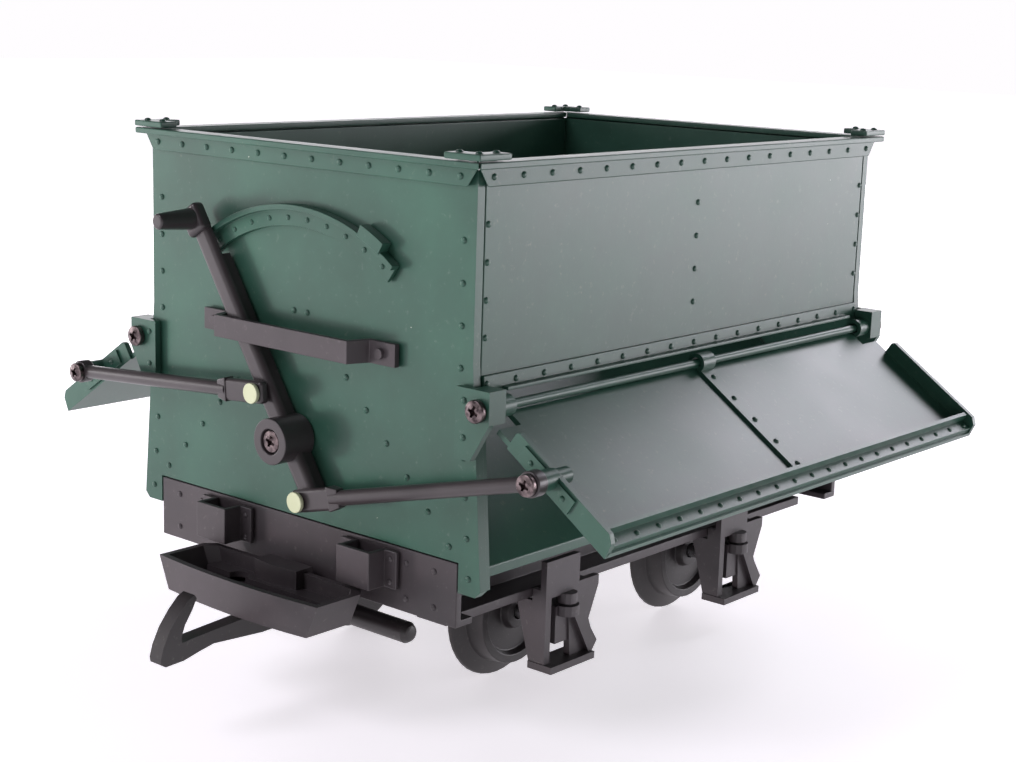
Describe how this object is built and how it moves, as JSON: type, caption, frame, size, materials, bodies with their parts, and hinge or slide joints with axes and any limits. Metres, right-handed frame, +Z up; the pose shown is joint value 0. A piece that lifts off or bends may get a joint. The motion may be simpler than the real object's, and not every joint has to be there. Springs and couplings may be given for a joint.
{
  "type": "side-discharge hopper wagon model",
  "caption": "Model railway hopper wagon with a saddle floor, two side doors worked by one end lever and two links, two wheelsets and sprung hook couplers.",
  "frame": {"origin": "on the rail top under the wheel flanges, midway between the two axles and between the wheels", "axes": "+X along the track away from the lever end, +Y across the track to the left, +Z up"},
  "size_m": [0.212, 0.1582, 0.1145],
  "materials": {
    "green_shell": "satin dark green moulding",
    "black_frame": "satin brown-black moulding",
    "ivory_pins": "satin ivory moulding",
    "screws": "dark nickel plate",
    "axle_steel": "bright"
  },
  "bodies": {
    "frame": {"end_wall_front": "green_shell", "rim_angle_front": "green_shell", "headstock_front": "black_frame", "corner_gusset_front_right": "green_shell", "hinge_bracket_front_right": "green_shell", "hinge_screw_front_right": "screws", "buffer_pocket_front_right": "black_frame", "axle_guard_front_right": "black_frame", "corner_gusset_front_left": "green_shell", "hinge_bracket_front_left": "green_shell", "hinge_screw_front_left": "screws", "buffer_pocket_front_left": "black_frame", "axle_guard_front_left": "black_frame", "end_wall_rear": "green_shell", "rim_angle_rear": "green_shell", "headstock_rear": "black_frame", "corner_gusset_rear_right": "green_shell", "hinge_bracket_rear_right": "green_shell", "hinge_screw_rear_right": "screws", "buffer_pocket_rear_right": "black_frame", "axle_guard_rear_right": "black_frame", "corner_gusset_rear_left": "green_shell", "hinge_bracket_rear_left": "green_shell", "hinge_screw_rear_left": "screws", "buffer_pocket_rear_left": "black_frame", "axle_guard_rear_left": "black_frame", "side_wall_right": "green_shell", "rim_angle_right": "green_shell", "hinge_rod_right": "green_shell", "sole_bar_right": "black_frame", "side_wall_left": "green_shell", "rim_angle_left": "green_shell", "hinge_rod_left": "green_shell", "sole_bar_left": "black_frame", "saddle_floor": "green_shell", "lever_quadrant": "green_shell", "underframe_floor": "black_frame", "lever_guard": "black_frame", "lever_pivot_screw": "screws"},
    "door_right": {"door_right": "green_shell"},
    "link_right": {"door_link_right": "black_frame", "link_screw_right": "screws"},
    "door_left": {"door_left": "green_shell"},
    "link_left": {"door_link_left": "black_frame", "link_screw_left": "screws"},
    "lever": {"discharge_lever": "black_frame", "lever_grip": "black_frame", "upper_link_pin": "ivory_pins", "lower_link_pin": "ivory_pins"},
    "wheelset_front": {"axle_front": "axle_steel", "wheel_front_right": "black_frame", "wheel_front_left": "black_frame"},
    "coupler_front": {"coupler_tray_front": "black_frame"},
    "hook_front": {"coupler_hook_front": "black_frame"},
    "wheelset_rear": {"axle_rear": "axle_steel", "wheel_rear_right": "black_frame", "wheel_rear_left": "black_frame"},
    "coupler_rear": {"coupler_tray_rear": "black_frame"},
    "hook_rear": {"coupler_hook_rear": "black_frame"}
  },
  "joints": [
    {"name": "discharge_lever", "type": "hinge", "parent": "frame", "child": "lever", "pos_m": [-0.0735, 0, 0.0545], "axis": [1, 0, 0], "range_deg": [0, 67]},
    {"name": "door_right_hinge", "type": "hinge", "parent": "frame", "child": "door_right", "pos_m": [0, -0.0491, 0.0682], "axis": [1, 0, 0], "range_deg": [0, 50]},
    {"name": "door_left_hinge", "type": "hinge", "parent": "frame", "child": "door_left", "pos_m": [0, 0.0491, 0.0682], "axis": [-1, 0, 0], "range_deg": [0, 50]},
    {"name": "link_left_pin", "type": "hinge", "parent": "lever", "child": "link_left", "pos_m": [-0.0751, 0.00582, 0.06336], "axis": [-1, 0, 0], "range_deg": [0, 76]},
    {"name": "link_right_pin", "type": "hinge", "parent": "lever", "child": "link_right", "pos_m": [-0.0751, -0.00719, 0.04355], "axis": [-1, 0, 0], "range_deg": [0, 59]},
    {"name": "axle_front_turn", "type": "hinge", "parent": "frame", "child": "wheelset_front", "pos_m": [-0.0314, 0, 0.0153], "axis": [0, 1, 0], "continuous": true},
    {"name": "axle_rear_turn", "type": "hinge", "parent": "frame", "child": "wheelset_rear", "pos_m": [0.0314, 0, 0.0153], "axis": [0, 1, 0], "continuous": true},
    {"name": "coupler_front_swivel", "type": "hinge", "parent": "frame", "child": "coupler_front", "pos_m": [-0.0542, 0, 0.0228], "axis": [0, 0, 1], "range_deg": [-7, 7]},
    {"name": "hook_front_tilt", "type": "hinge", "parent": "coupler_front", "child": "hook_front", "pos_m": [-0.0645, 0, 0.0185], "axis": [0, -1, 0], "range_deg": [0, 12], "stiffness_Nm_per_rad": 0.004},
    {"name": "coupler_rear_swivel", "type": "hinge", "parent": "frame", "child": "coupler_rear", "pos_m": [0.0542, 0, 0.0228], "axis": [0, 0, 1], "range_deg": [-7, 7]},
    {"name": "hook_rear_tilt", "type": "hinge", "parent": "coupler_rear", "child": "hook_rear", "pos_m": [0.0645, 0, 0.0185], "axis": [0, 1, 0], "range_deg": [0, 12], "stiffness_Nm_per_rad": 0.004}
  ],
  "couplings": [
    {"joint": "door_right_hinge", "follows": "discharge_lever", "ratio": 0.7313},
    {"joint": "door_left_hinge", "follows": "discharge_lever", "ratio": 0.7313},
    {"joint": "link_left_pin", "follows": "discharge_lever", "ratio": 1.1237},
    {"joint": "link_right_pin", "follows": "discharge_lever", "ratio": 0.8749}
  ]
}
